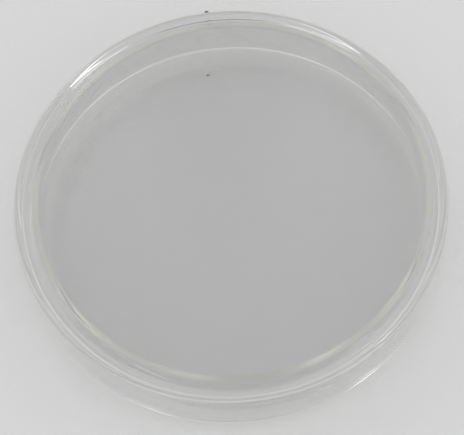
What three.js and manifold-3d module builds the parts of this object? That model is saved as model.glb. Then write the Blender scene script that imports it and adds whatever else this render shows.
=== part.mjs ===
// Covered petri dish: a shallow round glass dish with a loose glass lid that
// overlaps it. Millimetres, +Z up. The origin is on the lid's axis, at the level
// of the surface that the dish stands on.
import * as THREE from "three";
import { mergeVertices } from "three/addons/utils/BufferGeometryUtils.js";
import Module from "manifold-3d";

// ---- driving dimensions (mm) ----
const CLOSED_HEIGHT = 19.2; // surface under the dish to the lid's flat top

const LID_RADIUS = 50; // outside of the skirt
const LID_HEIGHT = 15.6; // flat top to the skirt's lower edge
const LID_WALL = 2.0;
const LID_PLATE = 2.0;
const LID_SHOULDER_R = 2.5; // rounding outside, between plate and skirt
const LID_INNER_R = 1.4; // rounding inside, between plate and skirt
const LID_EDGE_R = 0.5; // the two edges of the skirt's flat rim

const DISH_RADIUS = 46.1; // outside of the wall
const DISH_WALL = 1.7;
const DISH_FLOOR = 2.0;
const DISH_HEEL_R = 3.6; // rounding outside, between base and wall
const DISH_INNER_R = 3.2; // rounding inside, between floor and wall
const DISH_EDGE_R = 0.45; // the two edges of the wall's flat rim
const SEAT_GAP = 0.3; // clearance between the dish's rim and the lid's plate

// The lid is loose by 1.9 mm all round, and the dish stands off centre in it.
const DISH_SHIFT_X = 0.5;
const DISH_SHIFT_Y = 0.85;

// Small glass pip left on the lid's shoulder by the mould.
const PIP_ANGLE_DEG = 90.5;
const PIP_RADIUS = 0.55;
const PIP_CENTRE_R = 49.85;
const PIP_CENTRE_BELOW_TOP = 1.7;

const AROUND = 96; // facets round the circumference
const CORNER_STEPS = 6;
const EDGE_STEPS = 4;

const DISH_HEIGHT = CLOSED_HEIGHT - LID_PLATE - SEAT_GAP;

// ---- helpers ----
function arc(cx, cy, r, fromDeg, toDeg, steps) {
  const points = [];
  for (let i = 0; i <= steps; i++) {
    const a = THREE.MathUtils.degToRad(fromDeg + ((toDeg - fromDeg) * i) / steps);
    points.push(new THREE.Vector2(cx + r * Math.cos(a), cy + r * Math.sin(a)));
  }
  return points;
}

// Cup that opens upwards, standing on height 0: base, heel, wall, flat rim with two
// rounded edges, inner corner and floor. The profile starts and ends on the axis.
function cupProfile(radius, height, wall, floor, heelR, innerR, edgeR) {
  return [
    new THREE.Vector2(0, 0),
    ...arc(radius - heelR, heelR, heelR, -90, 0, CORNER_STEPS),
    ...arc(radius - edgeR, height - edgeR, edgeR, 0, 90, EDGE_STEPS),
    ...arc(radius - wall + edgeR, height - edgeR, edgeR, 90, 180, EDGE_STEPS),
    ...arc(radius - wall - innerR, floor + innerR, innerR, 0, -90, CORNER_STEPS),
    new THREE.Vector2(0, floor),
  ];
}

// LatheGeometry turns round Y, so the result is stood up on Z.
function lathe(profile) {
  return new THREE.LatheGeometry(profile, AROUND).rotateX(Math.PI / 2);
}

const wasm = await Module();
wasm.setup();

function toSolid(geometry) {
  const bare = geometry.clone();
  bare.deleteAttribute("normal");
  bare.deleteAttribute("uv");
  const merged = mergeVertices(bare, 1e-4);
  return new wasm.Manifold(
    new wasm.Mesh({
      numProp: 3,
      vertProperties: merged.attributes.position.array,
      triVerts: new Uint32Array(merged.index.array),
    }),
  );
}

function toGeometry(solid) {
  const mesh = solid.getMesh();
  const geometry = new THREE.BufferGeometry();
  const position = new Float32Array(mesh.numVert * 3);
  for (let i = 0; i < mesh.numVert; i++)
    position.set(
      mesh.vertProperties.subarray(i * mesh.numProp, i * mesh.numProp + 3),
      i * 3,
    );
  geometry.setAttribute("position", new THREE.BufferAttribute(position, 3));
  geometry.setIndex(new THREE.BufferAttribute(new Uint32Array(mesh.triVerts), 1));
  geometry.computeVertexNormals();
  return geometry;
}

// ---- dish ----
const dish = new THREE.Mesh(
  lathe(
    cupProfile(
      DISH_RADIUS,
      DISH_HEIGHT,
      DISH_WALL,
      DISH_FLOOR,
      DISH_HEEL_R,
      DISH_INNER_R,
      DISH_EDGE_R,
    ),
  ),
  new THREE.MeshStandardMaterial({
    color: 0xd3d9cf,
    roughness: 0.06,
    metalness: 0,
    transparent: true,
    opacity: 0.35,
  }),
);
dish.name = "base_dish";
dish.position.set(DISH_SHIFT_X, DISH_SHIFT_Y, 0);

// ---- lid: the same kind of cup, upside down, with its pip ----
const lidProfile = cupProfile(
  LID_RADIUS,
  LID_HEIGHT,
  LID_WALL,
  LID_PLATE,
  LID_SHOULDER_R,
  LID_INNER_R,
  LID_EDGE_R,
)
  .map((p) => new THREE.Vector2(p.x, -p.y))
  .reverse();
const pipAngle = THREE.MathUtils.degToRad(PIP_ANGLE_DEG);
const pip = new THREE.SphereGeometry(PIP_RADIUS, 12, 8).translate(
  PIP_CENTRE_R * Math.cos(pipAngle),
  PIP_CENTRE_R * Math.sin(pipAngle),
  -PIP_CENTRE_BELOW_TOP,
);
const lid = new THREE.Mesh(
  toGeometry(toSolid(lathe(lidProfile)).add(toSolid(pip))),
  new THREE.MeshStandardMaterial({
    color: 0xd8ddd3,
    roughness: 0.06,
    metalness: 0,
    transparent: true,
    opacity: 0.35,
  }),
);
lid.name = "lid";

const lidGroup = new THREE.Group();
lidGroup.position.z = CLOSED_HEIGHT;
lidGroup.add(lid);

const assembly = new THREE.Group();
assembly.add(dish, lidGroup);

export default assembly;
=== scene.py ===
"""Looks of the covered petri dish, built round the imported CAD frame."""
import math

import bpy
import bmesh
import numpy as np
from mathutils import Matrix, Vector, noise


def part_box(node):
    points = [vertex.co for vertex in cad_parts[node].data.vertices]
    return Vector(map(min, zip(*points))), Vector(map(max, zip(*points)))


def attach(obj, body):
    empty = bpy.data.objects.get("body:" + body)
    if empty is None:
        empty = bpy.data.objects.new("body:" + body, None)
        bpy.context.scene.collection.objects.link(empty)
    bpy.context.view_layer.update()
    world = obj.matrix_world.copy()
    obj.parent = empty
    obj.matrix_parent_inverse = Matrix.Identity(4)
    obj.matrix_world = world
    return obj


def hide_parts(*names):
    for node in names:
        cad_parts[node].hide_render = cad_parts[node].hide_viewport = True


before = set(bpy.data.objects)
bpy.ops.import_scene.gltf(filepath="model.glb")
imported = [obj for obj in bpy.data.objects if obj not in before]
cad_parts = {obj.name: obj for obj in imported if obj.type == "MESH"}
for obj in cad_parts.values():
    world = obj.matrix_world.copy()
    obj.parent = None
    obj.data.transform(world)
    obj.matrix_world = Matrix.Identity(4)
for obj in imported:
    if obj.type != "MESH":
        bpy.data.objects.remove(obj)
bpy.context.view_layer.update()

MM = 0.001

# ------------------------------------------------------------------ sizes, mm
LID_WALL, LID_PLATE, LID_SHOULDER_R, LID_INNER_R, LID_EDGE_R = 2.0, 2.0, 2.5, 1.4, 0.5
DISH_WALL, DISH_FLOOR, DISH_HEEL_R, DISH_INNER_R, DISH_EDGE_R = 1.7, 2.0, 3.6, 3.2, 0.45
PIP_ANGLE = math.radians(90.5)
PIP_R, PIP_CENTRE_R, PIP_BELOW_TOP = 0.55, 49.85, 1.7

(lx0, ly0, lz0), (lx1, ly1, lz1) = [[c / MM for c in p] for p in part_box("lid")]
(dx0, dy0, dz0), (dx1, dy1, dz1) = [[c / MM for c in p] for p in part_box("base_dish")]
LID_RADIUS = (lx1 - lx0) / 2
LID_X, LID_Y = (lx0 + lx1) / 2, ly0 + LID_RADIUS
LID_HEIGHT = lz1 - lz0
TOP = lz1
DISH_RADIUS = (dx1 - dx0) / 2
DISH_X, DISH_Y = (dx0 + dx1) / 2, (dy0 + dy1) / 2
DISH_HEIGHT = dz1 - dz0


# ------------------------------------------------------------------ glass meshes
def arc(cx, cz, r, a0, a1, n):
    out = []
    for i in range(n + 1):
        a = math.radians(a0 + (a1 - a0) * i / n)
        out.append((cx + r * math.cos(a), cz + r * math.sin(a)))
    return out


def run(a, b, n, guard=0.12):
    """Points between a and b, both left out, with one close to each end, so that a long flat
    keeps its own shading right up to the rounding beside it."""
    length = math.dist(a, b)
    at = [guard / length] + [(i + 1) / (n + 1) for i in range(n)] + [1 - guard / length]
    at = sorted(t for t in at if guard / length <= t <= 1 - guard / length)
    return [(a[0] + (b[0] - a[0]) * t, a[1] + (b[1] - a[1]) * t) for t in at]


def cup(radius, height, wall, floor, heel, inner, edge):
    """Profile of a cup that opens upwards, from the axis under its base to the axis on its floor."""
    h = arc(radius - heel, heel, heel, -90, 0, 22)
    rim = arc(radius - edge, height - edge, edge, 0, 90, 14)
    rim += run((radius - edge, height), (radius - wall + edge, height), 1, 0.08)
    rim += arc(radius - wall + edge, height - edge, edge, 90, 180, 14)
    c = arc(radius - wall - inner, floor + inner, inner, 0, -90, 22)
    p = [(0.0, 0.0)]
    p += run(p[-1], h[0], 16) + h
    p += run(h[-1], rim[0], 5) + rim
    p += run(rim[-1], c[0], 5) + c
    p += run(c[-1], (0.0, floor), 16) + [(0.0, floor)]
    return p


def angles(n, fine_at=None, half=0.03, steps=24):
    out = {round(2 * math.pi * i / n, 9) for i in range(n)}
    if fine_at is not None:
        out |= {round(fine_at + half * (2 * i / steps - 1), 9) for i in range(steps + 1)}
    out = sorted(out)
    keep = [out[0]]
    for a in out[1:]:
        if a - keep[-1] > 1e-3:
            keep.append(a)
    return keep


def revolve(name, profile, around, shape=None):
    bm = bmesh.new()
    first, last = bm.verts.new((0, 0, profile[0][1])), bm.verts.new((0, 0, profile[-1][1]))
    mid = profile[1:-1]
    rings = []
    for a in around:
        ca, sa = math.cos(a), math.sin(a)
        rings.append([bm.verts.new((r * ca, r * sa, z)) for r, z in mid])
    n = len(rings)
    for k in range(n):
        A, B = rings[k], rings[(k + 1) % n]
        bm.faces.new((first, B[0], A[0]))
        for i in range(len(mid) - 1):
            bm.faces.new((A[i], B[i], B[i + 1], A[i + 1]))
        bm.faces.new((A[-1], B[-1], last))
    bm.normal_update()
    if shape is not None:
        moves = [(v, shape(v.co.copy(), v.normal.copy())) for v in bm.verts]
        for v, co in moves:
            v.co = co
    bmesh.ops.recalc_face_normals(bm, faces=bm.faces)
    me = bpy.data.meshes.new(name)
    bm.to_mesh(me)
    bm.free()
    for p in me.polygons:
        p.use_smooth = True
    ob = bpy.data.objects.new(name, me)
    bpy.context.scene.collection.objects.link(ob)
    return ob


def place(ob, x, y, z):
    """Puts the mesh, made in mm round its own axis, where the CAD has it, in metres."""
    me = ob.data
    m = Matrix.Translation((x * MM, y * MM, z * MM)) @ Matrix.Scale(MM, 4)
    me.transform(m)
    me.update()


def sway(seed, depth, scale_xy, scale_z):
    """Slight unevenness of formed glass: the surface is drawn in by up to depth mm, never out."""
    off = Vector((seed * 17.3, seed * 5.9, seed * 11.7))

    def f(co, n):
        q = Vector((co.x / scale_xy, co.y / scale_xy, co.z / scale_z)) + off
        w = 0.5 + 0.5 * max(-1.0, min(1.0, noise.noise(q) * 1.4))
        return co - n * (depth * w)

    return f


dish_sway = sway(1, 0.014, 42.0, 42.0)
dish = revolve("dish_glass", cup(DISH_RADIUS, DISH_HEIGHT, DISH_WALL, DISH_FLOOR, DISH_HEEL_R, DISH_INNER_R, DISH_EDGE_R),
               angles(480), dish_sway)
place(dish, DISH_X, DISH_Y, dz0)

lid_profile = [(r, -z) for r, z in cup(LID_RADIUS, LID_HEIGHT, LID_WALL, LID_PLATE, LID_SHOULDER_R, LID_INNER_R, LID_EDGE_R)][::-1]
pip_at = Vector((PIP_CENTRE_R * math.cos(PIP_ANGLE), PIP_CENTRE_R * math.sin(PIP_ANGLE), -PIP_BELOW_TOP))
lid_sway = sway(2, 0.014, 42.0, 42.0)


def lid_shape(co, n):
    co2 = lid_sway(co, n)
    # the pip: vertices of the outer face near its centre are carried out to its ball
    flat = Vector((co.x, co.y, 0))
    if flat.length > LID_RADIUS - 0.9 and n.dot(pip_at) > 0:
        d = co - pip_at
        reach = PIP_R * 1.15
        if d.length < reach:
            k = 1 - (d.length / reach) ** 2
            out = Vector((math.cos(PIP_ANGLE), math.sin(PIP_ANGLE), 0.35)).normalized()
            co2 = co2 + out * (0.48 * k ** 0.7)
    return co2


lid = revolve("lid_glass", lid_profile, angles(480, PIP_ANGLE), lid_shape)
place(lid, LID_X, LID_Y, TOP)


# ------------------------------------------------------------------ materials
def node(nt, kind, **inputs):
    n = nt.nodes.new(kind)
    for key, value in inputs.items():
        n.inputs[key.replace("_", " ")].default_value = value
    return n


def glass(name, seed, mark, mark_r):
    """Clear formed glass: near-smooth, with a faint film, hair scratches and a weak yellow-green tint that only
    shows where the light has run a long way inside it. A near-black spot of radius mark_r (mm) sits at mark (mm): on
    the lid it darkens the mould pip, on the dish it is a small dark spot on the floor by the back wall."""
    m = bpy.data.materials.new(name)
    m.use_nodes = True
    nt = m.node_tree
    L = nt.links
    p = nt.nodes["Principled BSDF"]
    p.inputs["Metallic"].default_value = 0.0
    p.inputs["IOR"].default_value = 1.5
    p.inputs["Transmission Weight"].default_value = 1.0
    tc = nt.nodes.new("ShaderNodeTexCoord")
    to_mark = nt.nodes.new("ShaderNodeVectorMath")
    to_mark.operation = "DISTANCE"
    L.new(tc.outputs["Object"], to_mark.inputs[0])
    to_mark.inputs[1].default_value = [c * MM for c in mark]
    shade = nt.nodes.new("ShaderNodeMapRange")
    shade.inputs["From Min"].default_value = mark_r * MM * 0.7
    shade.inputs["From Max"].default_value = mark_r * MM
    L.new(to_mark.outputs["Value"], shade.inputs["Value"])
    tint = nt.nodes.new("ShaderNodeMix")
    tint.data_type = "RGBA"
    tint.inputs["A"].default_value = (0.02, 0.02, 0.02, 1)
    L.new(shade.outputs["Result"], tint.inputs["Factor"])
    mp = node(nt, "ShaderNodeMapping", Location=(seed * 3.1, seed * 1.7, seed * 0.9))
    L.new(tc.outputs["Object"], mp.inputs["Vector"])
    # the melt: cloudy by a hair's breadth, so that no two parts of the glass are quite as clear
    melt = node(nt, "ShaderNodeTexNoise", Scale=22.0, Detail=2.0)
    L.new(mp.outputs["Vector"], melt.inputs["Vector"])
    melt_c = nt.nodes.new("ShaderNodeMix")
    melt_c.data_type = "RGBA"
    melt_c.inputs["A"].default_value = (0.882, 0.882, 0.882, 1)
    melt_c.inputs["B"].default_value = (0.899, 0.899, 0.899, 1)
    L.new(melt.outputs["Fac"], melt_c.inputs["Factor"])
    L.new(melt_c.outputs["Result"], tint.inputs["B"])
    L.new(tint.outputs["Result"], p.inputs["Base Color"])
    # hand film: patchy, very slightly rougher glass
    film = node(nt, "ShaderNodeTexNoise", Scale=60.0, Detail=3.0, Roughness=0.55)
    L.new(mp.outputs["Vector"], film.inputs["Vector"])
    film_r = nt.nodes.new("ShaderNodeMapRange")
    film_r.inputs["From Min"].default_value = 0.45
    film_r.inputs["From Max"].default_value = 0.8
    film_r.inputs["To Min"].default_value = 0.0
    film_r.inputs["To Max"].default_value = 0.02
    L.new(film.outputs["Fac"], film_r.inputs["Value"])
    # hair scratches: thin level lines of a stretched noise
    sc_map = node(nt, "ShaderNodeMapping", Scale=(900.0, 45.0, 300.0), Rotation=(0, 0, 0.6 + seed))
    L.new(tc.outputs["Object"], sc_map.inputs["Vector"])
    sc = node(nt, "ShaderNodeTexNoise", Scale=1.0, Detail=1.0)
    L.new(sc_map.outputs["Vector"], sc.inputs["Vector"])
    sc_r = nt.nodes.new("ShaderNodeMapRange")
    sc_r.inputs["From Min"].default_value = 0.74
    sc_r.inputs["From Max"].default_value = 0.78
    L.new(sc.outputs["Fac"], sc_r.inputs["Value"])
    rough = nt.nodes.new("ShaderNodeMath")
    rough.operation = "MULTIPLY_ADD"
    rough.inputs[1].default_value = 0.10
    L.new(sc_r.outputs["Result"], rough.inputs[0])
    L.new(film_r.outputs["Result"], rough.inputs[2])
    L.new(rough.outputs["Value"], p.inputs["Roughness"])
    bump = node(nt, "ShaderNodeBump", Strength=0.12, Distance=0.00002)
    L.new(sc_r.outputs["Result"], bump.inputs["Height"])
    L.new(bump.outputs["Normal"], p.inputs["Normal"])
    va = nt.nodes.new("ShaderNodeVolumeAbsorption")
    va.inputs["Color"].default_value = (0.59, 0.61, 0.48, 1)
    va.inputs["Density"].default_value = 4.2
    L.new(va.outputs["Volume"], nt.nodes["Material Output"].inputs["Volume"])
    return m


# near-black spots: one on the dish floor by the back wall, one on the lid over its mould pip
dish_mat = glass("dish_glass_clear", 1, (-1.88, 41.05, dz0 + DISH_FLOOR), 0.38)
lid_mat = glass("lid_glass_clear", 2, (LID_X + pip_at.x, LID_Y + pip_at.y, TOP + pip_at.z), 0.95)
dish.data.materials.append(dish_mat)
lid.data.materials.append(lid_mat)

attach(dish, "dish")
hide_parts("base_dish")
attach(lid, "lid")
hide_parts("lid")

# ------------------------------------------------------------------ floor
fme = bpy.data.meshes.new("studio_floor")
fbm = bmesh.new()
bmesh.ops.create_grid(fbm, x_segments=1, y_segments=1, size=4.0)
fbm.to_mesh(fme)
fbm.free()
floor = bpy.data.objects.new("studio_floor", fme)
bpy.context.scene.collection.objects.link(floor)
floor.location = (0, 0, -0.00005)
fm = bpy.data.materials.new("studio_floor_pale")
fm.use_nodes = True
fp = fm.node_tree.nodes["Principled BSDF"]
fp.inputs["Base Color"].default_value = (0.80, 0.80, 0.80, 1)
fp.inputs["Roughness"].default_value = 1.0
fp.inputs["Specular IOR Level"].default_value = 0.0
fme.materials.append(fm)

# ------------------------------------------------------------------ soft studio light
world = bpy.data.worlds.new("soft_studio")
bpy.context.scene.world = world
world.use_nodes = True
wn = world.node_tree
wn.nodes.clear()
wl = wn.links
w_tc = wn.nodes.new("ShaderNodeTexCoord")
w_sep = wn.nodes.new("ShaderNodeSeparateXYZ")
wl.new(w_tc.outputs["Generated"], w_sep.inputs[0])


def wmath(op, a, b=None, c=None, clamp=False):
    n = wn.nodes.new("ShaderNodeMath")
    n.operation = op
    n.use_clamp = clamp
    for i, v in enumerate((a, b, c)):
        if v is None:
            continue
        if isinstance(v, (int, float)):
            n.inputs[i].default_value = v
        else:
            wl.new(v, n.inputs[i])
    return n.outputs[0]


def step(v, lo, hi, a=0.0, b=1.0):
    n = wn.nodes.new("ShaderNodeMapRange")
    n.interpolation_type = "SMOOTHSTEP"
    n.inputs["From Min"].default_value = lo
    n.inputs["From Max"].default_value = hi
    n.inputs["To Min"].default_value = a
    n.inputs["To Max"].default_value = b
    wl.new(v, n.inputs["Value"])
    return n.outputs["Result"]


X, Y, Z = w_sep.outputs
AZ = wmath("MULTIPLY", wmath("ARCTAN2", X, Y), 180 / math.pi)  # 0 = +Y, 90 = +X
EL = wmath("MULTIPLY", wmath("ARCSINE", Z), 180 / math.pi)


def window(az0, az1, el0, el1, soft_az, soft_el, lean=0.0):
    """Soft-edged rectangle of sky; lean moves its azimuths by that many degrees per degree of elevation."""
    az = AZ if not lean else wmath("SUBTRACT", AZ, wmath("MULTIPLY", EL, lean))
    a = wmath("MULTIPLY", step(az, az0 - soft_az, az0 + soft_az), step(az, az1 - soft_az, az1 + soft_az, 1.0, 0.0))
    e = wmath("MULTIPLY", step(EL, el0 - soft_el, el0 + soft_el), step(EL, el1 - soft_el, el1 + soft_el, 1.0, 0.0))
    return wmath("MULTIPLY", a, e)


def disc(x, y, z, inner, outer):
    d = Vector((x, y, z)).normalized()
    dot = wmath("ADD", wmath("ADD", wmath("MULTIPLY", X, d.x), wmath("MULTIPLY", Y, d.y)), wmath("MULTIPLY", Z, d.z))
    return step(dot, math.cos(math.radians(outer)), math.cos(math.radians(inner)))


LEVEL = 1.12
light = wmath("ADD", step(EL, 4, 50, 0.40, 0.80), step(EL, 66, 84, 0.0, -0.16))
for mask, add in (
    (window(-26, -15, 28, 42, 1.2, 2), 1.6),  # back left panel
    (window(12, 23, 28, 42, 1.2, 2), 0.6),  # back right panel
    (window(-28, -15, 4, 22, 1.2, 4), 0.45),  # their glow on the wall below
    (window(13, 26, 4, 22, 1.2, 4), 0.35),
    (window(-40, -5, 55, 64, 3, 3), 0.12),  # ceiling on either side of the middle
    (window(4, 30, 55, 64, 3, 3), 0.16),
    (window(-9, 9, 0, 42, 2, 6), -0.20),  # dark between the panels
    (window(98, 172, 6, 48, 10, 8), 0.18),  # broad light, front right
    (window(-78, -48, 18, 50, 6, 8), 0.15),  # broad light, left
    (disc(0.38, -0.10, 0.92, 2, 6), 2.2),  # lamp, high, right
    (disc(-0.33, -0.15, 0.93, 2, 6), 0.8),  # lamp, high, left
):
    light = wmath("ADD", light, wmath("MULTIPLY", mask, add))
bg = wn.nodes.new("ShaderNodeBackground")
bg.inputs["Color"].default_value = (1, 1, 1, 1)
wl.new(wmath("MULTIPLY", light, LEVEL), bg.inputs["Strength"])
wo = wn.nodes.new("ShaderNodeOutputWorld")
wl.new(bg.outputs[0], wo.inputs[0])

# ------------------------------------------------------------------ camera
E, ROLL = math.radians(63.666), math.radians(-6.606)
DIST, K = 382.06, 4.377
U0, V0 = 229.269, 192.808
W, H = 464.0, 435.0
F = K * DIST
fw = np.array([0, math.cos(E), -math.sin(E)])
pos = np.array([0, 0, TOP]) - DIST * fw
right = np.array([1.0, 0, 0])
up = np.cross(right, fw)
r2 = math.cos(ROLL) * right + math.sin(ROLL) * up
u2 = -math.sin(ROLL) * right + math.cos(ROLL) * up
R = np.array([r2, -u2, fw])
t = np.array([U0 - W / 2, V0 - H / 2, F])
t /= np.linalg.norm(t)
z = np.array([0, 0, 1.0])
v = np.cross(z, t)
kx = np.array([[0, -v[2], v[1]], [v[2], 0, -v[0]], [-v[1], v[0], 0]])
Q = np.eye(3) + kx + kx @ kx * ((1 - z @ t) / (v @ v))
Rw = Q @ R
cam_data = bpy.data.cameras.new("camera")
cam = bpy.data.objects.new("camera", cam_data)
bpy.context.scene.collection.objects.link(cam)
cam.matrix_world = Matrix([
    [Rw[0][0], -Rw[1][0], -Rw[2][0], pos[0] * MM],
    [Rw[0][1], -Rw[1][1], -Rw[2][1], pos[1] * MM],
    [Rw[0][2], -Rw[1][2], -Rw[2][2], pos[2] * MM],
    [0, 0, 0, 1],
])
cam_data.sensor_width = 36
cam_data.lens = 36 * F / W
cam_data.clip_start = 0.01
cam_data.clip_end = 20
bpy.context.scene.camera = cam

# ------------------------------------------------------------------ light paths and tone
sc = bpy.context.scene
sc.view_settings.view_transform = "Standard"
sc.view_settings.look = "None"
sc.cycles.max_bounces = 128
sc.cycles.transmission_bounces = 128
sc.cycles.glossy_bounces = 128
sc.cycles.transparent_max_bounces = 16
sc.cycles.diffuse_bounces = 4
sc.cycles.blur_glossy = 0.0
sc.cycles.denoising_input_passes = "RGB"  # normals seen through four glass faces are only noise
sc.cycles.sample_clamp_indirect = 6.0
